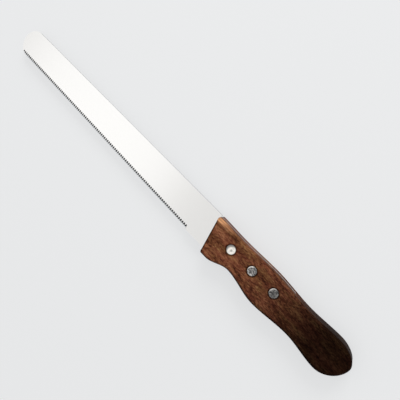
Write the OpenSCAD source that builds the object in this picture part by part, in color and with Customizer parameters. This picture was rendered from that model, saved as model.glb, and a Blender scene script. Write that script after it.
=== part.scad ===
// Cake slicer: a long blade with a round nose and a finely serrated edge. Its half tang sits in a
// slot cut into the top of a one-piece wooden handle, where three two-piece cutler's rivets hold it.
// The slicer lies on the right side of its handle. X runs from the nose to the butt and Y from the
// cutting edge to the spine. The left side, into which the serration is ground, faces up.
// Depths are measured from the line of the spine towards the edge, and places along the slicer
// from where the spine meets the wood.

/* [Blade] */
// Length of the blade from its nose to the wood, along the spine
blade_len = 250; // [180:1:320]
// Height of the blade at its plain heel
heel_h = 29.4; // [27:0.2:36]
// Height of the blade where its round nose begins, which is also the nose's diameter
nose_h = 25.2; // [18:0.2:26]
// Thickness of the steel
blade_thk = 1.2; // [0.8:0.1:2]

/* [Serration] */
// Length of the plain heel between the wood and the last tooth
plain_len = 15.2; // [8:0.2:40]
// Distance from one tooth to the next
tooth_pitch = 2.06; // [1.9:0.02:4]
// Radius at the bottom of a gullet
gullet_r = 0.8; // [0.4:0.05:0.9]
// Angle of a gullet's flanks to the line of the edge
flank_angle = 55; // [35:1:65]
// Height of the ground gullets above the tips of the teeth, on the left side
ground_h = 3; // [2.2:0.1:5]
// Depth of the notches between the teeth, on the right side
notch_h = 0.8; // [0.4:0.1:1.4]
// How far the plain heel stands below the tips of the teeth
heel_step = 0.6; // [0.2:0.1:2]

/* [Tang] */
// Length of the tang inside the wood
tang_len = 79; // [75:1:100]
// Depth of the tang's lower edge
tang_depth = 21; // [18:0.5:22.5]
// Radius of the tang's lower rear corner
tang_corner_r = 12; // [2:0.5:16]

/* [Handle] */
// Length of the handle from the end of the spine to the butt
handle_len = 139.4; // [120:0.2:170]
// Thickness of the handle from side to side
handle_thk = 15; // [12:0.5:22]
// Radius of the rounding between the sides and the top, bottom and butt
edge_r = 2.6; // [1.4:0.1:5]
// How far the front's bottom corner lies behind its top corner
front_slant = 7.7; // [0:0.1:10]
// Bevel between the front and the sides
front_bevel = 0.7; // [0.2:0.1:1.4]
// Depth of the bottom edge at the front
front_depth = 31.8; // [30:0.2:38]
// Depth of the bottom edge at the waist behind the front
waist_depth = 25.9; // [24.5:0.1:30]
// Depth of the bottom edge at the belly
belly_depth = 30.4; // [28:0.2:36]
// Depth of the bottom edge at the finger hollow behind the belly
hollow_depth = 27.4; // [25:0.2:32]
// Depth of the bottom edge at the butt
butt_depth = 30.2; // [28:0.2:36]
// Depth of the top edge at the front, where the spine stands above it
front_dip = 1; // [0:0.1:3]
// Depth of the top edge at the thumb rest
thumb_dip = 1.7; // [0:0.1:3]
// Depth of the top edge at the hump behind the thumb rest
hump_dip = 1; // [0:0.1:3]
// Depth of the top edge at the saddle in front of the butt
saddle_dip = 3.2; // [0:0.1:6]
// Depth of the top edge at the butt
butt_dip = 2; // [0:0.1:6]

/* [Rivets] */
// Place of the first rivet
rivet_first = 24; // [16:0.2:26]
// Distance from the last rivet to the end of the tang
rivet_last = 11; // [10:0.2:16]
// Depth of the rivets
rivet_depth = 12.3; // [10:0.1:14]
// Diameter of the rivet heads
head_d = 7.4; // [6.6:0.2:9.6]
// Thickness of the rivet heads
head_thk = 1.5; // [1:0.1:2.5]
// Depth of the shallow dish in the face of a rivet head
head_dish = 0.25; // [0.1:0.05:0.5]
// Outer diameter of the sleeve half
sleeve_d = 5; // [4.2:0.1:5.6]
// Diameter of the shank of the pin half
pin_d = 3; // [2:0.1:3.4]

/* [Hidden] */
$fn = 64;

// Clearance on each side of the tang, under it and between the blade's heel and the wood
slot_fit = 0.05;
// Clearance round a rivet's sleeve and its heads in the wood, and round the sleeve in the tang
rivet_fit = 0.06;
// Clearance round the pin in the sleeve
pin_fit = 0.03;
// Room left at the ends of the pin and of the sleeve, so that both heads seat first
end_room = 0.6;
// Bevel round the face of a rivet head
head_bevel = 0.25;
// Overrun of every cut
over = 1;

// Places of the waists and swells along the handle, as shares of its length
lip_share = 0.096;
waist_share = 0.232;
belly_share = 0.44;
hollow_share = 0.68;
thumb_share = 0.2;
hump_share = 0.42;
saddle_share = 0.68;
butt_share = 0.875;
// Depth of the butt's middle, as a share of the depth of the bottom edge there
butt_mid_share = 0.41;
// Fullness of the butt's curve, of which 2 is an ellipse
butt_power = 1.9;
// Steps of the handle's outline along each edge and round the butt, which are odd, and of the rounding
edge_steps = 36;
butt_steps = 19;
round_steps = 6;
// Steps of the arc at the tang's lower rear corner, and of the dish in a rivet head
corner_steps = 10;
dish_steps = 4;
// Radius of the dish, as a share of the head's
dish_share = 0.8;

// Places of the rivets, which are spread evenly along the tang
rivet_pitch = (tang_len - rivet_last - rivet_first) / 2;
rivet_places = [rivet_first, rivet_first + rivet_pitch, rivet_first + 2 * rivet_pitch];

// The origin lies under the middle of the slicer's length and height
front_x = (blade_len - handle_len) / 2;
spine_y = max(front_depth, belly_depth, butt_depth) / 2;
mid_z = handle_thk / 2;
front_angle = atan2(front_slant, front_depth);

// Centre of the round nose
nose_r = nose_h / 2;
nose_x = nose_r - blade_len;
// The line through the tips of the teeth leaves the nose's circle at a tangent and ends at the plain
// heel, so its slope follows from the nose and the heel
tips_depth = heel_h - heel_step;
heel_from_nose = [-plain_len - nose_x, nose_r - tips_depth];
edge_slope = atan2(heel_from_nose.y, heel_from_nose.x) + asin(nose_r / norm(heel_from_nose));
// The teeth run on past the tangent until the nose's arc is higher than the ground band
edge_len = sqrt(heel_from_nose * heel_from_nose - nose_r * nose_r);
run_out = sqrt(nose_r * nose_r - (nose_r - ground_h) * (nose_r - ground_h));
tooth_count = floor((edge_len + run_out) / tooth_pitch);

// A gullet is ground along a line that enters the right side notch_h above the tips of the teeth
// and leaves the left side ground_h above them
grind_angle = atan2(blade_thk, ground_h - notch_h);
grind_reach = norm([blade_thk, ground_h - notch_h]);
flank_in = gullet_r * sin(flank_angle);
flank_down = gullet_r * (1 - cos(flank_angle));
cutter_depth = ground_h + heel_step + over;

// Edges of the handle, as places and depths of their waists and swells
bottom_edge = [
    [lip_share * handle_len, -front_depth],
    [waist_share * handle_len, -waist_depth],
    [belly_share * handle_len, -belly_depth],
    [hollow_share * handle_len, -hollow_depth],
    [butt_share * handle_len, -butt_depth]
];
top_edge = [
    [0, -front_dip],
    [thumb_share * handle_len, -thumb_dip],
    [hump_share * handle_len, -hump_dip],
    [saddle_share * handle_len, -saddle_dip],
    [butt_share * handle_len, -butt_dip]
];

// A smooth step from 0 to 1, level at both ends
function ease(s) = s * s * (3 - 2 * s);
function clamp(s) = max(0, min(1, s));
// Height of a wavy edge at x: level at each of its waists and swells, with a smooth step between
function edge_y(edge, x, i = 0) =
    i < len(edge) - 2 && x > edge[i + 1].x ? edge_y(edge, x, i + 1)
    : edge[i].y + (edge[i + 1].y - edge[i].y) * ease(clamp((x - edge[i].x) / (edge[i + 1].x - edge[i].x)));
// Coordinate of a full curve from its sine or cosine
function full(t) = sign(t) * pow(abs(t), 2 / butt_power);
// Place of the slanted front at a height y below the spine
function front_at(y) = -y * tan(front_angle);

// The handle seen from its left side, anticlockwise from below the front, which it overruns
butt_x = butt_share * handle_len;
butt_mid = -butt_mid_share * butt_depth;
outline = concat(
    [for (i = [0:edge_steps]) let (x = -over + (butt_x + over) * i / edge_steps) [x, edge_y(bottom_edge, x)]],
    [for (i = [1:butt_steps - 1]) let (a = -90 + 180 * i / butt_steps) [
        butt_x + (handle_len - butt_x) * full(cos(a)),
        butt_mid + (a < 0 ? butt_depth + butt_mid : -butt_dip - butt_mid) * full(sin(a))
    ]],
    [for (i = [edge_steps:-1:0]) let (x = -over + (butt_x + over) * i / edge_steps) [x, edge_y(top_edge, x)]]
);
outline_count = len(outline);
// Direction that points out of the handle at each point of its outline
outward = [for (i = [0:outline_count - 1])
    let (
        before = outline[max(i - 1, 0)],
        after = outline[min(i + 1, outline_count - 1)],
        along = (after - before) / norm(after - before)
    )
    [along.y, -along.x]
];
// Levels of the handle from its right side to its left: how far the outline is drawn in, and where
rounding = [for (i = [0:round_steps]) let (a = 90 * i / round_steps) [edge_r * (1 - sin(a)), edge_r * (1 - cos(a))]];
levels = concat(rounding, [for (i = [round_steps:-1:0]) [rounding[i].x, handle_thk - rounding[i].y]]);

// The handle's rounded body before its cuts
module handle_body() {
    n = outline_count;
    points = [for (level = levels, i = [0:n - 1])
        let (p = outline[i] - level.x * outward[i])
        [p.x, p.y, level.y]
    ];
    walls = [for (k = [0:len(levels) - 2], i = [0:n - 1])
        let (a = k * n + i, b = k * n + (i + 1) % n)
        each [[a, a + n, b + n], [a, b + n, b]]
    ];
    // Each side is a row of strips from the bottom edge to the top edge
    last = (len(levels) - 1) * n;
    sides = [for (i = [0:n / 2 - 2])
        let (j = n - 1 - i)
        each [[i, i + 1, j - 1, j], [last + i, last + j, last + j - 1, last + i + 1]]
    ];
    polyhedron(points = points, faces = concat(sides, walls));
}

// Everything in front of the handle's slanted front, with the bevels between it and the sides
module front_cut() {
    rotate([0, 0, front_angle]) {
        translate([-2 * front_depth, -2 * front_depth, -over])
            cube([2 * front_depth, 3 * front_depth, handle_thk + 2 * over]);
        front_bevel_cut();
        translate([0, 0, handle_thk])
            mirror([0, 0, 1])
                front_bevel_cut();
    }
}

// Everything below the bevel between the front and the right side, along its whole height
module front_bevel_cut() {
    rotate([0, 45, 0])
        translate([-2 * over, -2 * front_depth, -2 * over])
            cube([4 * over, 3 * front_depth, 2 * over + front_bevel * cos(45)]);
}

// Outline of the tang's lower rear corner, grown by a clearance
function tang_corner(grow) = [for (i = [0:corner_steps]) let (a = -90 * i / corner_steps)
    [tang_len - tang_corner_r, tang_corner_r - tang_depth] + (tang_corner_r + grow) * [cos(a), sin(a)]
];

// Slot for the tang, open at the top and at the front
module slot() {
    translate([0, 0, mid_z - blade_thk / 2 - slot_fit])
        linear_extrude(blade_thk + 2 * slot_fit)
            polygon(concat(
                [[-over, over], [tang_len + slot_fit, over]],
                tang_corner(slot_fit),
                [[-over, -tang_depth - slot_fit]]
            ));
}

// A straight hole through everything, at one rivet
module rivet_hole(place, r, low, high) {
    translate([place, -rivet_depth, low])
        cylinder(r = r, h = high - low);
}

module handle() {
    color("saddlebrown")
        translate([front_x, spine_y, 0])
            difference() {
                handle_body();
                front_cut();
                slot();
                for (place = rivet_places) {
                    rivet_hole(place, sleeve_d / 2 + rivet_fit, -over, handle_thk + over);
                    rivet_hole(place, head_d / 2 + rivet_fit, -over, head_thk);
                    rivet_hole(place, head_d / 2 + rivet_fit, handle_thk - head_thk, handle_thk + over);
                }
            }
}

// The blade and its tang seen from the left, without the round nose and the teeth
module blade_outline() {
    tang_top = [for (i = [0:edge_steps]) let (x = tang_len * i / edge_steps) [x, edge_y(top_edge, x)]];
    tangent = [nose_x, -nose_r] + nose_r * [sin(edge_slope), -cos(edge_slope)];
    polygon(concat(
        [[nose_x, 0], [0, 0]],
        tang_top,
        tang_corner(0),
        [
            [front_at(-tang_depth) - slot_fit, -tang_depth],
            [front_at(-heel_h) - slot_fit, -heel_h],
            [heel_step - plain_len, -heel_h],
            [-plain_len, -tips_depth],
            tangent
        ]
    ));
}

// Profile of the grinding wheel's rim, whose top cuts the bottom of one gullet
module gullet_profile() {
    half_w = flank_in + (cutter_depth - flank_down) / tan(flank_angle);
    translate([0, -gullet_r])
        circle(r = gullet_r);
    polygon([[-flank_in, -flank_down], [-half_w, -cutter_depth], [half_w, -cutter_depth], [flank_in, -flank_down]]);
}

// One gullet's cut, from its own place on the line through the tips of the teeth
module gullet() {
    run_in = (notch_h + heel_step) * cos(grind_angle) + over;
    translate([0, notch_h, -blade_thk / 2])
        rotate([grind_angle - 90, 0, 0])
            translate([0, 0, -run_in])
                linear_extrude(run_in + grind_reach + over)
                    gullet_profile();
}

module blade() {
    color("gainsboro")
        translate([front_x, spine_y, mid_z])
            difference() {
                translate([0, 0, -blade_thk / 2])
                    union() {
                        linear_extrude(blade_thk)
                            blade_outline();
                        translate([nose_x, -nose_r, 0])
                            cylinder(r = nose_r, h = blade_thk, $fn = 200);
                    }
                translate([-plain_len, -tips_depth, 0])
                    rotate([0, 0, edge_slope])
                        for (i = [0:tooth_count - 1])
                            translate([-(i + 0.5) * tooth_pitch, 0, 0])
                                gullet();
                for (place = rivet_places)
                    rivet_hole(place, sleeve_d / 2 + rivet_fit, -blade_thk / 2 - over, blade_thk / 2 + over);
            }
}

// Head of a rivet with a dished face and a bevelled rim, its face down at z = 0
module rivet_head() {
    dish_r = dish_share * head_d / 2;
    dish = [for (i = [0:dish_steps]) let (s = i / dish_steps) [dish_r * s, head_dish * pow(cos(90 * s), 2)]];
    rotate_extrude()
        polygon(concat(
            dish,
            [
                [head_d / 2 - head_bevel, 0],
                [head_d / 2, head_bevel],
                [head_d / 2, head_thk],
                [0, head_thk]
            ]
        ));
}

// The half with the hollow sleeve, whose head lies in the right side of the handle
module rivet_sleeve(place) {
    color("silver")
        translate([front_x + place, spine_y - rivet_depth, 0])
            difference() {
                union() {
                    rivet_head();
                    translate([0, 0, head_thk])
                        cylinder(r = sleeve_d / 2, h = handle_thk - 2 * head_thk - end_room);
                }
                translate([0, 0, head_thk])
                    cylinder(r = pin_d / 2 + pin_fit, h = handle_thk);
            }
}

// The half with the solid pin, whose head lies in the left side of the handle
module rivet_pin(place) {
    color("silver")
        translate([front_x + place, spine_y - rivet_depth, handle_thk])
            rotate([180, 0, 0])
                union() {
                    rivet_head();
                    translate([0, 0, head_thk])
                        cylinder(r = pin_d / 2, h = handle_thk - 2 * head_thk - end_room);
                }
}

blade();
handle();
rivet_sleeve(rivet_places[0]);  // rivet_sleeve_front
rivet_sleeve(rivet_places[1]);  // rivet_sleeve_middle
rivet_sleeve(rivet_places[2]);  // rivet_sleeve_rear
rivet_pin(rivet_places[0]);  // rivet_pin_front
rivet_pin(rivet_places[1]);  // rivet_pin_middle
rivet_pin(rivet_places[2]);  // rivet_pin_rear
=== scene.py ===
"""The looks of a cake slicer: a round-nosed blade of satin steel with a finely ground serration, and a
contoured rosewood handle with three two-piece rivets. All lengths are in metres, in the frame of the
solids: X from the nose to the butt, Y from the cutting edge to the spine, Z up out of the left side."""

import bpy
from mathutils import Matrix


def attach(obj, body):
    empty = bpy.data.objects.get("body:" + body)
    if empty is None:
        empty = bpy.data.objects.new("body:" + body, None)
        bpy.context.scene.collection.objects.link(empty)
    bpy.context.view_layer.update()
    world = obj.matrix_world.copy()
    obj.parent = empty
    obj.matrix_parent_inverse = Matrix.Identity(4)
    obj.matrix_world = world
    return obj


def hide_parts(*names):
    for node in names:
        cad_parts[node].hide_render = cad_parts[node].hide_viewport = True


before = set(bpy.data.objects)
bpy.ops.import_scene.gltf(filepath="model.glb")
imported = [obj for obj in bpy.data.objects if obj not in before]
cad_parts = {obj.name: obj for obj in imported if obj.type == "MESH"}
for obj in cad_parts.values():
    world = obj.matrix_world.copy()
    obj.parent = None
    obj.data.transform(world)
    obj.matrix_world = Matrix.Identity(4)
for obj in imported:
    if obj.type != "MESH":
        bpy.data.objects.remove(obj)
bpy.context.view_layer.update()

import math

import bpy
import numpy as np
from mathutils import Matrix, Vector

MM = 0.001

# ---- Sizes, the same as the solids' ----

HANDLE_LEN = 139.4 * MM
HANDLE_THK = 15 * MM
EDGE_R = 2.6 * MM
# Where the spine meets the wood
FRONT_X = 55.3 * MM
SPINE_Y = 15.9 * MM
FRONT_DEPTH = 31.8 * MM
FRONT_SLANT = 7.7 * MM
FRONT_ANGLE = math.atan2(FRONT_SLANT, FRONT_DEPTH)
FRONT_DIP = 1 * MM
# How far the corners round the handle's front are eased with sandpaper
FRONT_EASE = 0.7 * MM
BLADE_THK = 1.2 * MM
TANG_LEN = 79 * MM
TANG_DEPTH = 21 * MM
TANG_CORNER_R = 12 * MM
SLOT_FIT = 0.05 * MM
RIVET_PLACES = {"front": 24 * MM, "middle": 46 * MM, "rear": 68 * MM}
RIVET_DEPTH = 12.3 * MM
RIVET_FIT = 0.06 * MM
HEAD_D = 7.4 * MM
HEAD_THK = 1.5 * MM
SLEEVE_D = 5 * MM
PIN_D = 3 * MM
PIN_FIT = 0.03 * MM
# Room at the ends of the pin and of the sleeve
END_ROOM = 0.6 * MM
# Overrun of every cut
OVER = 1 * MM
# The line through the tips of the teeth, by a point on it and its slope, and the spacing of the teeth
PLAIN_LEN = 15.2 * MM
TIPS_DEPTH = 28.8 * MM
EDGE_SLOPE = 0.0162
TOOTH_PITCH = 2.06 * MM

BUTT_X = 0.875 * HANDLE_LEN
BUTT_DEPTH = 30.2 * MM
BUTT_DIP = 2 * MM
BUTT_MID = -0.41 * BUTT_DEPTH
# Fullness of the butt's curve, of which 2 is an ellipse
BUTT_POWER = 1.9
# The butt's curve ends this much short, since the solids' has corners where this one is round
BUTT_SHORT = 0.07 * MM
# Waists and swells of the handle's edges, as places along it and heights below the spine
BOTTOM_EDGE = np.array([
    [0.096 * HANDLE_LEN, -FRONT_DEPTH],
    [0.232 * HANDLE_LEN, -25.9 * MM],
    [0.44 * HANDLE_LEN, -30.4 * MM],
    [0.68 * HANDLE_LEN, -27.4 * MM],
    [BUTT_X, -BUTT_DEPTH],
])
TOP_EDGE = np.array([
    [0, -FRONT_DIP],
    [0.2 * HANDLE_LEN, -1.7 * MM],
    [0.42 * HANDLE_LEN, -1 * MM],
    [0.68 * HANDLE_LEN, -3.2 * MM],
    [BUTT_X, -BUTT_DIP],
])

# ---- Steps of the meshes ----

EDGE_STEPS = 150
BUTT_STEPS = 60
FRONT_STEPS = 12
EASE_STEPS = 5
ROUND_STEPS = 16
TANG_CORNER_STEPS = 12
HOLE_STEPS = 96
LATHE_STEPS = 64
DISH_STEPS = 16
RIM_STEPS = 7
# Edges sharper than these angles stay sharp in the shading
WOOD_SHARP = math.radians(30)
RIVET_SHARP = math.radians(40)
# A face whose normal has at least this share of Z is one of the handle's flat sides
FLAT_SIDE = 0.99999


# ---- Materials ----

def linear(hex_colour):
    """The linear colour of an sRGB hex value."""
    srgb = [int(hex_colour[i:i + 2], 16) / 255 for i in (1, 3, 5)]
    return [c / 12.92 if c <= 0.04045 else ((c + 0.055) / 1.055) ** 2.4 for c in srgb] + [1.0]


def add(tree, kind, inputs=None, stops=(), **settings):
    """Adds a node of a kind with its settings. An input is a value, or a socket that is linked to it, and
    the stops of a colour ramp are pairs of a place and a colour. Sockets that share a name go by number: a
    Mix node's are 2 and 3 for numbers, 6 and 7 for colours."""
    made = tree.nodes.new(kind)
    for name, value in settings.items():
        setattr(made, name, value)
    for i, (place, colour) in enumerate(stops):
        element = made.color_ramp.elements[i] if i < 2 else made.color_ramp.elements.new(place)
        element.position, element.color = place, colour
    for name, value in (inputs or {}).items():
        socket = made.inputs[name]
        if isinstance(value, bpy.types.NodeSocket):
            tree.links.new(value, socket)
        else:
            socket.default_value = value
    return made


def new_material(name):
    """An empty node material and its tree, with the shader linked to the output."""
    made = bpy.data.materials.new(name)
    made.use_nodes = True
    tree = made.node_tree
    tree.nodes.clear()
    output = add(tree, "ShaderNodeOutputMaterial")
    shader = add(tree, "ShaderNodeBsdfPrincipled")
    tree.links.new(shader.outputs["BSDF"], output.inputs["Surface"])
    return made, tree, shader


def mark_scale(length, width):
    """Scale of a pattern whose marks are so long along X and so wide across it."""
    return (1 / length, 1 / width, 1 / width)


def rosewood_grain(tree, place):
    """The fresh wood. Gives its colour, with patches, flecks and pores, and then the flecks and the pores
    alone."""
    # Broad patches of the figure, about 4 mm wide and 14 mm long, along the handle
    figure_map = add(tree, "ShaderNodeMapping", {
        "Vector": place, "Rotation": (0.02, 0.03, -0.04), "Location": (0.56, 0.78, -0.29),
        "Scale": mark_scale(14 * MM, 4.2 * MM)
    }).outputs["Vector"]
    figure = add(tree, "ShaderNodeTexNoise", {
        "Vector": figure_map, "Scale": 1.0, "Detail": 3.0, "Roughness": 0.55, "Distortion": 0.5
    }).outputs["Fac"]
    # Flecks, about 0.8 mm wide and 2.2 mm long
    fleck_map = add(tree, "ShaderNodeMapping", {
        "Vector": place, "Rotation": (0.0, 0.0, -0.06), "Scale": mark_scale(2.2 * MM, 0.8 * MM)
    }).outputs["Vector"]
    fleck = add(tree, "ShaderNodeTexNoise", {
        "Vector": fleck_map, "Scale": 1.0, "Detail": 4.0, "Roughness": 0.75, "Distortion": 0.4
    }).outputs["Fac"]
    mixed = add(tree, "ShaderNodeMix", {"Factor": 0.58, 2: figure, 3: fleck}).outputs[0]
    ground = add(tree, "ShaderNodeValToRGB", {"Fac": mixed}, stops=[
        (0.37, linear("#3C1D14")),
        (0.45, linear("#603626")),
        (0.52, linear("#805037")),
        (0.62, linear("#A27350")),
    ]).outputs["Color"]
    # The ground leans to red in some patches and to olive in others
    hue_noise = add(tree, "ShaderNodeTexNoise", {
        "Vector": figure_map, "Scale": 0.8, "Detail": 2.0, "Distortion": 0.3
    }).outputs["Fac"]
    hue = add(tree, "ShaderNodeValToRGB", {"Fac": hue_noise}, stops=[
        (0.4, (1.07, 0.95, 1.0, 1.0)),
        (0.62, (0.96, 1.03, 0.9, 1.0)),
    ]).outputs["Color"]
    ground = add(tree, "ShaderNodeMix", {
        "Factor": 1.0, 6: ground, 7: hue
    }, data_type="RGBA", blend_type="MULTIPLY").outputs[2]
    # Pores: real ones are 0.2 mm wide, drawn 0.55 mm wide and 2.6 mm long so that they show
    pore_map = add(tree, "ShaderNodeMapping", {
        "Vector": place, "Rotation": (0.0, 0.0, -0.05), "Scale": mark_scale(2.6 * MM, 0.55 * MM)
    }).outputs["Vector"]
    pore_noise = add(tree, "ShaderNodeTexNoise", {
        "Vector": pore_map, "Scale": 1.0, "Detail": 1.0, "Roughness": 0.5
    }).outputs["Fac"]
    pore = add(tree, "ShaderNodeMapRange", {
        "Value": pore_noise, "From Min": 0.54, "From Max": 0.64, "To Min": 0.0, "To Max": 0.7
    }).outputs["Result"]
    colour = add(tree, "ShaderNodeMix", {
        "Factor": pore, 6: ground, 7: linear("#25100A")
    }, data_type="RGBA").outputs[2]
    return colour, fleck, pore


def rosewood_darkening(tree, place, facing):
    """The share of its brightness that the wood keeps: less on the darker end grain, with painted shade on
    the lower edge and on the eased corners along the front, in a ring round each rivet, and towards the butt,
    with painted shade that is partly a darker tone of the wood."""
    # The end grain and the lower edge face the nose or the cutting edge: the end grain is darker, and the
    # lower edge gets painted shade
    end_grain = add(tree, "ShaderNodeVectorMath", {
        0: facing, 1: (-0.71, -0.71, 0.0)
    }, operation="DOT_PRODUCT").outputs["Value"]
    edge_share = add(tree, "ShaderNodeMapRange", {
        "Value": end_grain, "From Min": 0.1, "From Max": 0.4, "To Min": 1.0, "To Max": 0.22
    }).outputs["Result"]
    # Distance behind the slanted front
    inwards = (math.cos(FRONT_ANGLE), math.sin(FRONT_ANGLE))
    front_line = inwards[0] * FRONT_X + inwards[1] * SPINE_Y
    from_front = add(tree, "ShaderNodeVectorMath", {
        0: place, 1: (*inwards, 0.0)
    }, operation="DOT_PRODUCT").outputs["Value"]
    # Painted shade on the eased corners along the front, over the darker end grain
    front_share = add(tree, "ShaderNodeMapRange", {
        "Value": from_front, "From Min": front_line + 0.4 * MM, "From Max": front_line + 1.5 * MM,
        "To Min": 0.3, "To Max": 1.0
    }, interpolation_type="SMOOTHSTEP").outputs["Result"]
    # Distance from the nearest rivet's axis, seen from the side
    flat_place = add(tree, "ShaderNodeVectorMath", {
        0: place, 1: (1.0, 1.0, 0.0)
    }, operation="MULTIPLY").outputs["Vector"]
    nearest = None
    for rivet_place in RIVET_PLACES.values():
        distance = add(tree, "ShaderNodeVectorMath", {
            0: flat_place, 1: (FRONT_X + rivet_place, SPINE_Y - RIVET_DEPTH, 0.0)
        }, operation="DISTANCE").outputs["Value"]
        nearest = distance if nearest is None else add(tree, "ShaderNodeMath", {
            0: nearest, 1: distance
        }, operation="MINIMUM").outputs[0]
    # Darker in a ring round each rivet
    rivet_ring_share = add(tree, "ShaderNodeMapRange", {
        "Value": nearest, "From Min": 4.0 * MM, "From Max": 5.3 * MM, "To Min": 0.25, "To Max": 1.0
    }, interpolation_type="SMOOTHSTEP").outputs["Result"]
    # Painted shade towards the butt, partly a darker tone of the wood
    along = add(tree, "ShaderNodeSeparateXYZ", {"Vector": place}).outputs["X"]
    share = add(tree, "ShaderNodeMapRange", {
        "Value": along, "From Min": FRONT_X + 30 * MM, "From Max": FRONT_X + 115 * MM,
        "To Min": 1.0, "To Max": 0.09
    }, interpolation_type="SMOOTHSTEP").outputs["Result"]
    for other in (edge_share, front_share, rivet_ring_share):
        share = add(tree, "ShaderNodeMath", {0: share, 1: other}, operation="MULTIPLY").outputs[0]
    return share


def painted_corner_highlight(tree, place):
    """How strong the painted highlight is on the rounded top corner at the front, in streaks along the grain.
    """
    highlight_at = (FRONT_X + 6 * MM, SPINE_Y - FRONT_DIP - 1.3 * MM, HANDLE_THK - 1 * MM)
    from_highlight = add(tree, "ShaderNodeVectorMath", {
        0: place, 1: highlight_at
    }, operation="SUBTRACT").outputs["Vector"]
    from_highlight = add(tree, "ShaderNodeMapping", {
        "Vector": from_highlight, "Scale": (1 / (13 * MM), 1 / (3.6 * MM), 1 / (5 * MM))
    }).outputs["Vector"]
    distance = add(tree, "ShaderNodeVectorMath", {0: from_highlight}, operation="LENGTH").outputs["Value"]
    painted_highlight = add(tree, "ShaderNodeMapRange", {
        "Value": distance, "From Min": 0.2, "From Max": 1.0, "To Min": 1.0, "To Max": 0.0
    }, interpolation_type="SMOOTHSTEP").outputs["Result"]
    # Streaks, 1.1 mm wide and 14 mm long
    streak_map = add(tree, "ShaderNodeMapping", {
        "Vector": place, "Scale": mark_scale(14 * MM, 1.1 * MM)
    }).outputs["Vector"]
    streak_noise = add(tree, "ShaderNodeTexNoise", {
        "Vector": streak_map, "Scale": 1.0, "Detail": 1.0
    }).outputs["Fac"]
    streaks = add(tree, "ShaderNodeMapRange", {
        "Value": streak_noise, "From Min": 0.4, "From Max": 0.56, "To Min": 0.2, "To Max": 1.0
    }).outputs["Result"]
    return add(tree, "ShaderNodeMath", {0: painted_highlight, 1: streaks}, operation="MULTIPLY").outputs[0]


def oiled_rosewood():
    """Oiled rosewood, sanded and finished by rubbing in oil: a red-brown ground, mottled with darker flecks
    and short pores along the grain. It gives the eye a satin surface that is darker on the end grain and in a
    ring round each rivet, with painted shade on the lower edge, along the front and towards the butt, where
    it is partly a darker tone of the wood, and a light orange painted highlight on the rounded top corner at
    the front."""
    made, tree, shader = new_material("oiled_rosewood")
    coordinates = add(tree, "ShaderNodeTexCoord")
    place, facing = coordinates.outputs["Object"], coordinates.outputs["Normal"]
    colour, fleck, pore = rosewood_grain(tree, place)
    darkened = add(tree, "ShaderNodeVectorMath", {
        0: colour, "Scale": rosewood_darkening(tree, place, facing)
    }, operation="SCALE").outputs["Vector"]
    # A painted highlight, light orange, on the rounded top corner at the front
    with_highlight = add(tree, "ShaderNodeMix", {
        "Factor": painted_corner_highlight(tree, place), 6: darkened, 7: linear("#EFB07E")
    }, data_type="RGBA").outputs[2]
    tree.links.new(with_highlight, shader.inputs["Base Color"])
    rough = add(tree, "ShaderNodeMapRange", {
        "Value": fleck, "From Min": 0.3, "From Max": 0.7, "To Min": 0.52, "To Max": 0.42
    }).outputs["Result"]
    tree.links.new(rough, shader.inputs["Roughness"])
    shader.inputs["Specular IOR Level"].default_value = 0.015
    height = add(tree, "ShaderNodeMath", {0: fleck, 1: pore}, operation="SUBTRACT").outputs[0]
    bump = add(tree, "ShaderNodeBump", {"Height": height, "Strength": 0.3, "Distance": 0.06 * MM})
    tree.links.new(bump.outputs["Normal"], shader.inputs["Normal"])
    return made


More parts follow.
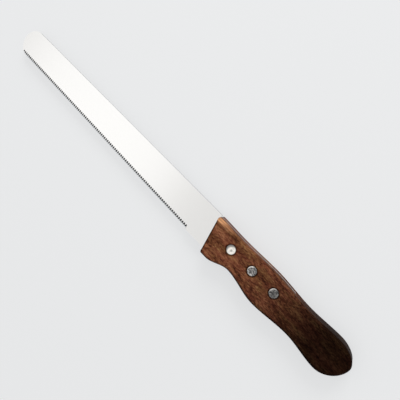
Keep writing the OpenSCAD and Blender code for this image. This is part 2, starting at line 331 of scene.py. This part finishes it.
def ground_teeth(tree, place):
    """Colour of the steel where the grinding wheel has been: gullets painted dark for their shade and dark
    reflections, with the wheel's marks; a mid-grey spine and upper rim, painted as shade; lighter tips; and a
    painted highlight on the ridge between every two gullets."""
    rise = (math.sin(EDGE_SLOPE), math.cos(EDGE_SLOPE))
    first_tip = (FRONT_X - PLAIN_LEN, SPINE_Y - TIPS_DEPTH)
    # Height above the line through the tips of the teeth, as a share of 4 mm
    tip_line = rise[0] * first_tip[0] + rise[1] * first_tip[1]
    height = add(tree, "ShaderNodeVectorMath", {
        0: place, 1: (*rise, 0.0)
    }, operation="DOT_PRODUCT").outputs["Value"]
    height_share = add(tree, "ShaderNodeMapRange", {
        "Value": height, "From Min": tip_line, "From Max": tip_line + 4 * MM
    }).outputs["Result"]
    # Painted shade: dark gullets, a mid-grey spine and upper rim, and lighter tips
    gullet = add(tree, "ShaderNodeValToRGB", {"Fac": height_share}, stops=[
        (0.12, linear("#A9ABAD")),
        (0.2, linear("#27282A")),
        (0.9, linear("#2E2F31")),
        (1.0, linear("#A4A6A8")),
    ]).outputs["Color"]
    # Marks of the grinding wheel: real ones are 0.03 mm wide, drawn 0.12 mm wide, up each gullet
    marks_map = add(tree, "ShaderNodeMapping", {
        "Vector": place, "Scale": mark_scale(0.12 * MM, 1.5 * MM)
    }).outputs["Vector"]
    marks_noise = add(tree, "ShaderNodeTexNoise", {
        "Vector": marks_map, "Scale": 1.0, "Detail": 2.0, "Roughness": 0.6
    }).outputs["Fac"]
    marks = add(tree, "ShaderNodeMapRange", {
        "Value": marks_noise, "From Min": 0.35, "From Max": 0.65, "To Min": 0.6, "To Max": 1.9
    }).outputs["Result"]
    gullet = add(tree, "ShaderNodeVectorMath", {
        0: gullet, "Scale": marks
    }, operation="SCALE").outputs["Vector"]
    # Place along the row of teeth, and from there how near the ridge between two gullets is
    row = (-rise[1], rise[0])
    run = add(tree, "ShaderNodeVectorMath", {
        0: place, 1: (*row, 0.0)
    }, operation="DOT_PRODUCT").outputs["Value"]
    run = add(tree, "ShaderNodeMath", {
        0: run, 1: row[0] * first_tip[0] + row[1] * first_tip[1]
    }, operation="SUBTRACT").outputs[0]
    from_ridge = add(tree, "ShaderNodeMath", {0: run, 1: TOOTH_PITCH / 2}, operation="PINGPONG").outputs[0]
    # A painted highlight on each ridge
    ridge = add(tree, "ShaderNodeMapRange", {
        "Value": from_ridge, "From Min": 0.1 * TOOTH_PITCH, "From Max": 0.17 * TOOTH_PITCH,
        "To Min": 1.0, "To Max": 0.0
    }).outputs["Result"]
    # There are no ridges on the spine and on the plain heel
    below_top = add(tree, "ShaderNodeMath", {0: height_share, 1: 0.99}, operation="LESS_THAN").outputs[0]
    past_heel = add(tree, "ShaderNodeMath", {0: run, 1: 0.0}, operation="GREATER_THAN").outputs[0]
    for other in (below_top, past_heel):
        ridge = add(tree, "ShaderNodeMath", {0: ridge, 1: other}, operation="MULTIPLY").outputs[0]
    return add(tree, "ShaderNodeMix", {
        "Factor": ridge, 6: gullet, 7: linear("#E2E4E6")
    }, data_type="RGBA").outputs[2]


def satin_steel():
    """Stainless steel with a fine satin polish along the blade: bright, with soft reflections. The ground
    faces keep the coarse finish of the grinding wheel, and their colour is painted light and shade: dark
    gullets, lighter tips, a mid-grey spine and a painted highlight on each ridge."""
    made, tree, shader = new_material("satin_stainless_steel")
    coordinates = add(tree, "ShaderNodeTexCoord")
    place, facing = coordinates.outputs["Object"], coordinates.outputs["Normal"]
    # Polishing lines: real ones are 0.02 mm wide, drawn 0.25 mm wide and 40 mm long
    lines_map = add(tree, "ShaderNodeMapping", {
        "Vector": place, "Scale": mark_scale(40 * MM, 0.25 * MM)
    }).outputs["Vector"]
    lines = add(tree, "ShaderNodeTexNoise", {
        "Vector": lines_map, "Scale": 1.0, "Detail": 2.0, "Roughness": 0.5
    }).outputs["Fac"]
    # The sides are polished, and all that faces another way is ground
    side = add(tree, "ShaderNodeSeparateXYZ", {"Vector": facing}).outputs["Z"]
    flatness = add(tree, "ShaderNodeMath", {0: side}, operation="ABSOLUTE").outputs[0]
    ground_share = add(tree, "ShaderNodeMapRange", {
        "Value": flatness, "From Min": 0.97, "From Max": 0.99, "To Min": 1.0, "To Max": 0.0
    }).outputs["Result"]
    colour = add(tree, "ShaderNodeMix", {
        "Factor": ground_share, 6: linear("#EFEEEC"), 7: ground_teeth(tree, place)
    }, data_type="RGBA").outputs[2]
    tree.links.new(colour, shader.inputs["Base Color"])
    polish = add(tree, "ShaderNodeMapRange", {
        "Value": lines, "From Min": 0.3, "From Max": 0.7, "To Min": 0.21, "To Max": 0.25
    }).outputs["Result"]
    rough = add(tree, "ShaderNodeMix", {"Factor": ground_share, 2: polish, 3: 0.42}).outputs[0]
    tree.links.new(rough, shader.inputs["Roughness"])
    shader.inputs["Metallic"].default_value = 1.0
    bump = add(tree, "ShaderNodeBump", {"Height": lines, "Strength": 0.015, "Distance": 0.02 * MM})
    tree.links.new(bump.outputs["Normal"], shader.inputs["Normal"])
    return made


def worn_aluminium():
    """Aluminium, ground flush with the wood and scratched by hands: the front heads are bright, and those
    further back keep a grey bloom with small scratches. Painted shade and painted reflections stand for the
    shallow dishes of the heads, the rearmost is darker still, and those behind the front have a painted glint
    on the rim."""
    made, tree, shader = new_material("ground_aluminium")
    place = add(tree, "ShaderNodeTexCoord").outputs["Object"]
    split = add(tree, "ShaderNodeSeparateXYZ", {"Vector": place})
    # Scratches, 1.2 mm wide and 2.4 mm long, which is coarser than real ones, so that they show
    scratch_map = add(tree, "ShaderNodeMapping", {
        "Vector": place, "Rotation": (0.0, 0.0, 0.6), "Scale": mark_scale(2.4 * MM, 1.2 * MM)
    }).outputs["Vector"]
    scratch = add(tree, "ShaderNodeTexNoise", {
        "Vector": scratch_map, "Scale": 1.0, "Detail": 3.0, "Roughness": 0.7
    }).outputs["Fac"]
    bright = add(tree, "ShaderNodeValToRGB", {"Fac": scratch}, stops=[
        (0.34, linear("#CCCAC6")),
        (0.46, linear("#FFFAF1")),
    ]).outputs["Color"]
    bloom = add(tree, "ShaderNodeValToRGB", {"Fac": scratch}, stops=[
        (0.38, linear("#595A5C")),
        (0.5, linear("#969594")),
        (0.6, linear("#DEDAD6")),
    ]).outputs["Color"]
    bloom_share = add(tree, "ShaderNodeMapRange", {
        "Value": split.outputs["X"], "From Min": FRONT_X + 28 * MM, "From Max": FRONT_X + 42 * MM,
        "To Min": 0.0, "To Max": 1.0
    }).outputs["Result"]
    tone = add(tree, "ShaderNodeMix", {
        "Factor": bloom_share, 6: bright, 7: bloom
    }, data_type="RGBA").outputs[2]
    # Place on a head, which repeats along the handle with the rivets
    first, pitch = FRONT_X + RIVET_PLACES["front"], RIVET_PLACES["middle"] - RIVET_PLACES["front"]
    axis_y = SPINE_Y - RIVET_DEPTH
    repeated = add(tree, "ShaderNodeMath", {
        0: split.outputs["X"], 1: first + pitch / 2, 2: first - pitch / 2
    }, operation="WRAP").outputs[0]
    on_head = add(tree, "ShaderNodeCombineXYZ", {"X": repeated, "Y": split.outputs["Y"]}).outputs["Vector"]
    # On the front heads, painted shade on the nose side of the dish, and a painted dark reflection in one
    # small spot
    from_far = add(tree, "ShaderNodeVectorMath", {
        0: on_head, 1: (first + 1.7 * MM, axis_y - 0.8 * MM, 0.0)
    }, operation="DISTANCE").outputs["Value"]
    crescent = add(tree, "ShaderNodeMapRange", {
        "Value": from_far, "From Min": 3.1 * MM, "From Max": 4.7 * MM, "To Min": 0.0, "To Max": 0.75
    }, interpolation_type="SMOOTHSTEP").outputs["Result"]
    from_spot = add(tree, "ShaderNodeVectorMath", {
        0: on_head, 1: (first + 0.6 * MM, axis_y - 0.4 * MM, 0.0)
    }, operation="DISTANCE").outputs["Value"]
    spot = add(tree, "ShaderNodeMapRange", {
        "Value": from_spot, "From Min": 0.3 * MM, "From Max": 1.4 * MM, "To Min": 0.55, "To Max": 0.0
    }, interpolation_type="SMOOTHSTEP").outputs["Result"]
    front_painted_shade = add(tree, "ShaderNodeMath", {0: crescent, 1: spot}, operation="MAXIMUM").outputs[0]
    # On those behind, painted shade fills the dish, and dark pits, 0.9 mm wide, mottle it
    from_axis = add(tree, "ShaderNodeVectorMath", {
        0: on_head, 1: (first + 0.3 * MM, axis_y, 0.0)
    }, operation="DISTANCE").outputs["Value"]
    dish_shade_and_pits = add(tree, "ShaderNodeMapRange", {
        "Value": from_axis, "From Min": 1.2 * MM, "From Max": 2.9 * MM, "To Min": 0.5, "To Max": 0.0
    }, interpolation_type="SMOOTHSTEP").outputs["Result"]
    pit_noise = add(tree, "ShaderNodeTexNoise", {
        "Vector": place, "Scale": 1 / (0.9 * MM), "Detail": 2.0, "Roughness": 0.6
    }).outputs["Fac"]
    pits = add(tree, "ShaderNodeMapRange", {
        "Value": pit_noise, "From Min": 0.5, "From Max": 0.58, "To Min": 0.0, "To Max": 0.8
    }).outputs["Result"]
    dish_shade_and_pits = add(tree, "ShaderNodeMath", {0: dish_shade_and_pits, 1: pits}, operation="MAXIMUM").outputs[0]
    shade_and_pits = add(tree, "ShaderNodeMix", {"Factor": bloom_share, 2: front_painted_shade, 3: dish_shade_and_pits}).outputs[0]
    # The rearmost is darker still
    rear_darkening = add(tree, "ShaderNodeMapRange", {
        "Value": split.outputs["X"], "From Min": FRONT_X + 50 * MM, "From Max": FRONT_X + 63 * MM,
        "To Min": 0.0, "To Max": 0.5
    }).outputs["Result"]
    undarkened = add(tree, "ShaderNodeMath", {0: 1.0, 1: rear_darkening}, operation="SUBTRACT").outputs[0]
    shade_and_pits = add(tree, "ShaderNodeMath", {0: shade_and_pits, 1: undarkened, 2: rear_darkening}, operation="MULTIPLY_ADD").outputs[0]
    with_shade_and_pits = add(tree, "ShaderNodeMix", {
        "Factor": shade_and_pits, 6: tone, 7: linear("#393736")
    }, data_type="RGBA").outputs[2]
    # A painted glint on the nose side of the rim of those behind
    painted_highlight = add(tree, "ShaderNodeMapRange", {
        "Value": from_far, "From Min": 4.5 * MM, "From Max": 5.2 * MM, "To Min": 0.0, "To Max": 0.8
    }, interpolation_type="SMOOTHSTEP").outputs["Result"]
    painted_highlight = add(tree, "ShaderNodeMath", {0: painted_highlight, 1: bloom_share}, operation="MULTIPLY").outputs[0]
    colour = add(tree, "ShaderNodeMix", {
        "Factor": painted_highlight, 6: with_shade_and_pits, 7: linear("#FAF6F0")
    }, data_type="RGBA").outputs[2]
    tree.links.new(colour, shader.inputs["Base Color"])
    rough = add(tree, "ShaderNodeMapRange", {
        "Value": scratch, "From Min": 0.3, "From Max": 0.7, "To Min": 0.42, "To Max": 0.26
    }).outputs["Result"]
    tree.links.new(rough, shader.inputs["Roughness"])
    shader.inputs["Metallic"].default_value = 1.0
    bump = add(tree, "ShaderNodeBump", {"Height": scratch, "Strength": 0.3, "Distance": 0.05 * MM})
    tree.links.new(bump.outputs["Normal"], shader.inputs["Normal"])
    return made


# ---- Surfaces ----

def ease(s):
    """A smooth step from 0 to 1, level at both ends: 3 s squared less 2 s cubed."""
    return s * s * (3 - 2 * s)


def wavy_edge(edge, x):
    """Height and slope of an edge at each x: level at each waist and swell, with a smooth step between."""
    i = np.clip(np.searchsorted(edge[:, 0], x, side="right") - 1, 0, len(edge) - 2)
    run = edge[i + 1, 0] - edge[i, 0]
    rise = edge[i + 1, 1] - edge[i, 1]
    s = np.clip((x - edge[i, 0]) / run, 0, 1)
    return edge[i, 1] + rise * ease(s), rise / run * 6 * s * (1 - s)


def grid_mesh(name, points, faces):
    """A mesh object from an array of points and a list of faces."""
    mesh = bpy.data.meshes.new(name)
    mesh.from_pydata(points.tolist(), [], [list(face) for face in faces])
    mesh.update()
    made = bpy.data.objects.new(name, mesh)
    bpy.context.scene.collection.objects.link(made)
    return made


def ring_faces(rings, count):
    """Quads between neighbouring rings of count points each, facing outwards where each ring runs
    anticlockwise seen from above and the rings rise."""
    k, i = np.meshgrid(np.arange(rings - 1), np.arange(count), indexing="ij")
    a = k * count + i
    b = k * count + (i + 1) % count
    return np.stack([a, b, b + count, a + count], -1).reshape(-1, 4).tolist()


def closed_rings(name, rings):
    """A closed solid of stacked rings of points, from the lowest to the highest, with a flat face on each
    end."""
    levels, count, _ = rings.shape
    faces = ring_faces(levels, count)
    faces.append(list(range(count - 1, -1, -1)))
    faces.append(list(range((levels - 1) * count, levels * count)))
    return grid_mesh(name, rings.reshape(-1, 3), faces)


def handle_ring(drawn_in, z, front_in):
    """The handle's outline at one level z, anticlockwise seen from above: round the front's eased bottom
    corner, along the bottom edge, round the butt, back along the top edge, round the eased top corner and
    down the slanted front. Each edge steps smoothly from waist to swell, and the butt is half a
    superellipse, whose cosine and sine are raised to 2 over BUTT_POWER. The outline is drawn in along its
    own normal, and at the front by front_in."""

    def corner(y, start, end):
        """The eased corner where the front meets an edge at height y, an arc between two angles."""
        centre_y = y + (FRONT_EASE if y < -FRONT_DEPTH / 2 else -FRONT_EASE)
        centre_x = -centre_y * math.tan(FRONT_ANGLE) + (front_in + FRONT_EASE) / math.cos(FRONT_ANGLE)
        turn = np.linspace(start, end, EASE_STEPS + 1)
        return np.stack([centre_x + FRONT_EASE * np.cos(turn), centre_y + FRONT_EASE * np.sin(turn)], -1)

    def along(edge, start_x, sign):
        """Points of an edge drawn in along its normal, from start_x to the butt."""
        x = start_x + (BUTT_X - start_x) * np.arange(1, EDGE_STEPS + 1) / EDGE_STEPS
        y, slope = wavy_edge(edge, x)
        size = np.sqrt(1 + slope * slope)
        return np.stack([x + sign * drawn_in * slope / size, y - sign * drawn_in / size], -1)

    front_turn = math.pi + FRONT_ANGLE
    low = corner(-FRONT_DEPTH + drawn_in, front_turn, 1.5 * math.pi)
    high = corner(-FRONT_DIP - drawn_in, 0.5 * math.pi, front_turn)
    bottom = along(BOTTOM_EDGE, low[-1, 0], -1)
    top = along(TOP_EDGE, high[0, 0], 1)[::-1]
    turn = np.linspace(-math.pi / 2, math.pi / 2, BUTT_STEPS + 1)[1:-1]
    half_x = HANDLE_LEN - BUTT_X - BUTT_SHORT
    half_y = np.where(turn < 0, BUTT_DEPTH + BUTT_MID, -BUTT_DIP - BUTT_MID)
    cosine = np.abs(np.cos(turn)) ** (2 / BUTT_POWER)
    sine = np.sign(np.sin(turn)) * np.abs(np.sin(turn)) ** (2 / BUTT_POWER)
    normal = np.stack([
        cosine ** (BUTT_POWER - 1) / half_x,
        np.sign(sine) * np.abs(sine) ** (BUTT_POWER - 1) / half_y,
    ], -1)
    normal /= np.linalg.norm(normal, axis=1, keepdims=True)
    butt = np.stack([BUTT_X + half_x * cosine, BUTT_MID + half_y * sine], -1) - drawn_in * normal
    share = np.linspace(0, 1, FRONT_STEPS + 1)[1:-1, None]
    front = high[-1] * (1 - share) + low[0] * share
    flat = np.concatenate([low, bottom, butt, top, high, front])
    flat += [FRONT_X, SPINE_Y]
    return np.column_stack([flat, np.full(len(flat), z)])


def handle_rings():
    """The handle as rings from its right side to its left. Near each side the outline is drawn in along a
    quarter circle of the edge radius, and at the front along the smaller circle of the eased corner."""
    turn = np.linspace(0, math.pi / 2, ROUND_STEPS + 1)
    drawn_in = EDGE_R * (1 - np.sin(turn))
    rise = EDGE_R * (1 - np.cos(turn))
    left = np.clip(FRONT_EASE - rise, 0, FRONT_EASE)
    front_in = FRONT_EASE - np.sqrt(FRONT_EASE ** 2 - left ** 2)
    right_half = [handle_ring(d, z, f) for d, z, f in zip(drawn_in, rise, front_in)]
    left_half = [handle_ring(d, HANDLE_THK - z, f) for d, z, f in zip(drawn_in, rise, front_in)]
    return np.array(right_half + left_half[::-1])


def prism_rings(flat, low, high):
    """Two rings of an outline, at the heights low and high."""
    return np.array([np.column_stack([flat, np.full(len(flat), z)]) for z in (low, high)])


def circle(place, radius):
    """Points of a circle round a rivet's place, anticlockwise."""
    turn = np.arange(HOLE_STEPS) * 2 * math.pi / HOLE_STEPS
    centre = np.array([FRONT_X + place, SPINE_Y - RIVET_DEPTH])
    return centre + radius * np.stack([np.cos(turn), np.sin(turn)], -1)


def slot_outline():
    """Outline of the slot for the tang, open at the top and at the front, with a rounded rear corner."""
    turn = np.linspace(-math.pi / 2, 0, TANG_CORNER_STEPS + 1)
    centre = np.array([TANG_LEN - TANG_CORNER_R, TANG_CORNER_R - TANG_DEPTH])
    arc = centre + (TANG_CORNER_R + SLOT_FIT) * np.stack([np.cos(turn), np.sin(turn)], -1)
    outside = 5 * OVER
    flat = np.concatenate([
        [[-outside, -TANG_DEPTH - SLOT_FIT]], arc, [[TANG_LEN + SLOT_FIT, outside], [-outside, outside]]
    ])
    return flat + [FRONT_X, SPINE_Y]


def cut(body, cutter):
    """Cuts a closed mesh out of another with Blender's boolean, and removes the cutter."""
    tool = body.modifiers.new("cut", "BOOLEAN")
    tool.operation = "DIFFERENCE"
    tool.solver = "EXACT"
    tool.object = cutter
    evaluated = body.evaluated_get(bpy.context.evaluated_depsgraph_get())
    mesh = bpy.data.meshes.new_from_object(evaluated)
    body.modifiers.clear()
    body.data = mesh
    bpy.data.objects.remove(cutter)


def handle_piece():
    """The handle: stacked rings, less the tang's slot and the stepped holes of the rivets. Its sides are
    shaded flat and the rest smooth."""
    body = closed_rings("wood_handle", handle_rings())
    half_slot = BLADE_THK / 2 + SLOT_FIT
    middle = HANDLE_THK / 2
    cut(body, closed_rings("slot", prism_rings(slot_outline(), middle - half_slot, middle + half_slot)))
    for place in RIVET_PLACES.values():
        bore = circle(place, SLEEVE_D / 2 + RIVET_FIT)
        head = circle(place, HEAD_D / 2 + RIVET_FIT)
        cut(body, closed_rings("bore", prism_rings(bore, -OVER, HANDLE_THK + OVER)))
        cut(body, closed_rings("low", prism_rings(head, -OVER, HEAD_THK)))
        cut(body, closed_rings("high", prism_rings(head, HANDLE_THK - HEAD_THK, HANDLE_THK + OVER)))
    mesh = body.data
    mesh.shade_smooth()
    mesh.set_sharp_from_angle(angle=WOOD_SHARP)
    normals = np.zeros(len(mesh.polygons) * 3)
    mesh.polygons.foreach_get("normal", normals)
    flat = np.abs(normals.reshape(-1, 3)[:, 2]) > FLAT_SIDE
    mesh.polygons.foreach_set("use_smooth", ~flat)
    mesh.update()
    return body


def lathe(name, place, profile):
    """A solid turned round a rivet's axis: a profile of radii and heights from its lowest point on the axis,
    out, up and back to its highest point on the axis, carried round in equal steps. Both poles are closed
    with triangles."""
    turn = np.arange(LATHE_STEPS) * 2 * math.pi / LATHE_STEPS
    radius, height = profile[1:-1, 0, None], profile[1:-1, 1, None]
    rings = np.stack([radius * np.cos(turn), radius * np.sin(turn), height + 0 * turn], -1).reshape(-1, 3)
    poles = np.array([[0, 0, profile[0, 1]], [0, 0, profile[-1, 1]]])
    points = np.concatenate([rings, poles]) + [FRONT_X + place, SPINE_Y - RIVET_DEPTH, 0]
    i = np.arange(LATHE_STEPS)
    after = (i + 1) % LATHE_STEPS
    last = len(rings) - LATHE_STEPS
    low = np.stack([after, i, 0 * i + len(rings)], -1).tolist()
    high = np.stack([last + i, last + after, 0 * i + len(rings) + 1], -1).tolist()
    made = grid_mesh(name, points, ring_faces(len(profile) - 2, LATHE_STEPS) + low + high)
    made.data.shade_smooth()
    made.data.set_sharp_from_angle(angle=RIVET_SHARP)
    return made


def head_face(dish, rim):
    """Half the face of a rivet head, from its axis to its side, as radii and depths under the wood: a dish
    whose depth falls as the square of the cosine, a flat ring, and a rim rounded by a quarter circle."""
    # The flat ring is 1.2 times as wide as the rim's radius
    dish_r = HEAD_D / 2 - 2.2 * rim
    r = np.linspace(0, dish_r, DISH_STEPS + 1)
    bowl = np.stack([r, dish * np.cos(r / dish_r * math.pi / 2) ** 2], -1)
    turn = np.linspace(0, math.pi / 2, RIM_STEPS + 1)
    edge = np.stack([HEAD_D / 2 - rim + rim * np.sin(turn), rim - rim * np.cos(turn)], -1)
    return np.concatenate([bowl, edge])


def rivet_pin(name, place, dish, rim):
    """The pin half: its shank from below, its head's underside and side, and its face."""
    face = head_face(dish, rim)[::-1] * [1, -1] + [0, HANDLE_THK]
    shank = [[0, HEAD_THK + END_ROOM], [PIN_D / 2, HEAD_THK + END_ROOM], [PIN_D / 2, HANDLE_THK - HEAD_THK],
             [HEAD_D / 2, HANDLE_THK - HEAD_THK]]
    return lathe(name, place, np.concatenate([shank, face]))


def rivet_sleeve(name, place, dish, rim):
    """The sleeve half: its head's face and side, the tube's outside and end, and its bore to the head."""
    bore, end = PIN_D / 2 + PIN_FIT, HANDLE_THK - HEAD_THK - END_ROOM
    tube = [[HEAD_D / 2, HEAD_THK], [SLEEVE_D / 2, HEAD_THK], [SLEEVE_D / 2, end], [bore, end],
            [bore, HEAD_THK], [0, HEAD_THK]]
    return lathe(name, place, np.concatenate([head_face(dish, rim), tube]))


# ---- The pieces ----

rosewood = oiled_rosewood()
steel = satin_steel()
rivet_metal = worn_aluminium()

wood = handle_piece()
wood.data.materials.append(rosewood)
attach(wood, "root")
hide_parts("handle")

# Depth of each head's dish and radius of its rim, which differ a little though one tool pressed them
RIVET_FACES = {
    "front": (0.22 * MM, 0.3 * MM),
    "middle": (0.3 * MM, 0.34 * MM),
    "rear": (0.26 * MM, 0.38 * MM),
}
for which, (dish, rim) in RIVET_FACES.items():
    for half_name, make in (("pin", rivet_pin), ("sleeve", rivet_sleeve)):
        piece = make(f"rivet_{half_name}_{which}_turned", RIVET_PLACES[which], dish, rim)
        piece.data.materials.append(rivet_metal)
        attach(piece, "root")
        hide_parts(f"rivet_{half_name}_{which}")

# The blade is the solid itself, which only gets its material
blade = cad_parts["blade"]
if not blade.data.materials:
    blade.data.materials.append(steel)
for slot in blade.material_slots:
    slot.material = steel

# ---- Floor, light and camera ----

PAPER = linear("#EFF0F1")
# How much of what the eye sees of the paper is its own glow
PAPER_GLOW = 0.68
# Strengths of the backdrop: the light that it gives, and how pale it looks
BACKDROP_LIGHT = 0.57
BACKDROP_SEEN = 0.8
FLOOR_HALF = 3.0
# The camera stands where the photograph's perspective puts it, over the spine side
CAMERA_AT = (0.121451, 0.0914, 0.326269)
CAMERA_RIGHT = (0.679403, 0.645792, -0.348374)
CAMERA_UP = (-0.68695, 0.726667, 0.007351)
CAMERA_BACK = (0.257899, 0.234321, 0.937327)
FOCAL_PIXELS = 433
PICTURE_PIXELS = 400
SENSOR_WIDTH = 36


def seen_share(tree):
    """1 for what the eye sees, directly, mirrored or through something, and 0 for what only gives light."""
    path = add(tree, "ShaderNodeLightPath")
    seen = path.outputs["Is Camera Ray"]
    for ray in ("Is Glossy Ray", "Is Transmission Ray"):
        seen = add(tree, "ShaderNodeMath", {0: seen, 1: path.outputs[ray]}, operation="MAXIMUM").outputs[0]
    return seen


def soft_box(name, at, towards, width, depth, radiance):
    """A rectangular area light at a place, turned towards another, that looks as bright as its radiance."""
    data = bpy.data.lights.new(name, "AREA")
    data.shape = "RECTANGLE"
    data.size = width
    data.size_y = depth
    data.energy = radiance * math.pi * width * depth
    lamp = bpy.data.objects.new(name, data)
    lamp.location = at
    lamp.rotation_euler = (Vector(towards) - Vector(at)).to_track_quat("-Z", "Y").to_euler()
    bpy.context.scene.collection.objects.link(lamp)


corners = FLOOR_HALF * np.array([(-1, -1, 0), (1, -1, 0), (1, 1, 0), (-1, 1, 0)])
floor = grid_mesh("floor", corners, [(0, 1, 2, 3)])
paper, paper_tree, paper_shader = new_material("white_paper")
paper_shader.inputs["Base Color"].default_value = PAPER
paper_shader.inputs["Roughness"].default_value = 0.9
paper_shader.inputs["Specular IOR Level"].default_value = 0.1
# The paper glows a little for the eye and for what mirrors it, so that its shadows are pale
glow = add(paper_tree, "ShaderNodeEmission", {"Color": PAPER, "Strength": 1.0}).outputs["Emission"]
glow_share = add(paper_tree, "ShaderNodeMath", {
    0: seen_share(paper_tree), 1: PAPER_GLOW
}, operation="MULTIPLY").outputs[0]
paper_mix = add(paper_tree, "ShaderNodeMixShader", {0: glow_share, 1: paper_shader.outputs["BSDF"], 2: glow})
paper_output = next(node for node in paper_tree.nodes if node.type == "OUTPUT_MATERIAL")
paper_tree.links.new(paper_mix.outputs["Shader"], paper_output.inputs["Surface"])
floor.data.materials.append(paper)

world = bpy.data.worlds.new("studio")
bpy.context.scene.world = world
world.use_nodes = True
# The backdrop looks paler than the light that it gives
backdrop = world.node_tree.nodes["Background"]
backdrop.inputs["Color"].default_value = (1.0, 1.0, 1.0, 1.0)
backdrop_strength = add(world.node_tree, "ShaderNodeMix", {
    "Factor": seen_share(world.node_tree), 2: BACKDROP_LIGHT, 3: BACKDROP_SEEN
}).outputs[0]
world.node_tree.links.new(backdrop_strength, backdrop.inputs["Strength"])

# A wide box overhead, a smaller one under it that the middle of the blade mirrors, and one low over the
# spine side, which lights the handle's top edge
soft_box("overhead", at=(-0.8, -0.1, 1.4), towards=(-0.8, -0.1, 0.0), width=2.8, depth=2.0, radiance=0.05)
soft_box("blade_card", at=(-1.0, -0.4, 1.39), towards=(-1.0, -0.4, 0.0), width=1.05, depth=0.9,
         radiance=0.33)
soft_box("key", at=(-0.3, 1.15, 0.72), towards=(0.06, 0.0, 0.0), width=0.7, depth=0.6, radiance=6.0)

camera_data = bpy.data.cameras.new("camera")
camera_data.sensor_width = SENSOR_WIDTH
camera_data.lens = SENSOR_WIDTH * FOCAL_PIXELS / PICTURE_PIXELS
camera_data.clip_start = 10 * MM
camera = bpy.data.objects.new("camera", camera_data)
facing = Matrix((CAMERA_RIGHT, CAMERA_UP, CAMERA_BACK)).transposed().to_4x4()
camera.matrix_world = Matrix.Translation(CAMERA_AT) @ facing
bpy.context.scene.collection.objects.link(camera)
bpy.context.scene.camera = camera

bpy.context.scene.view_settings.view_transform = "Standard"
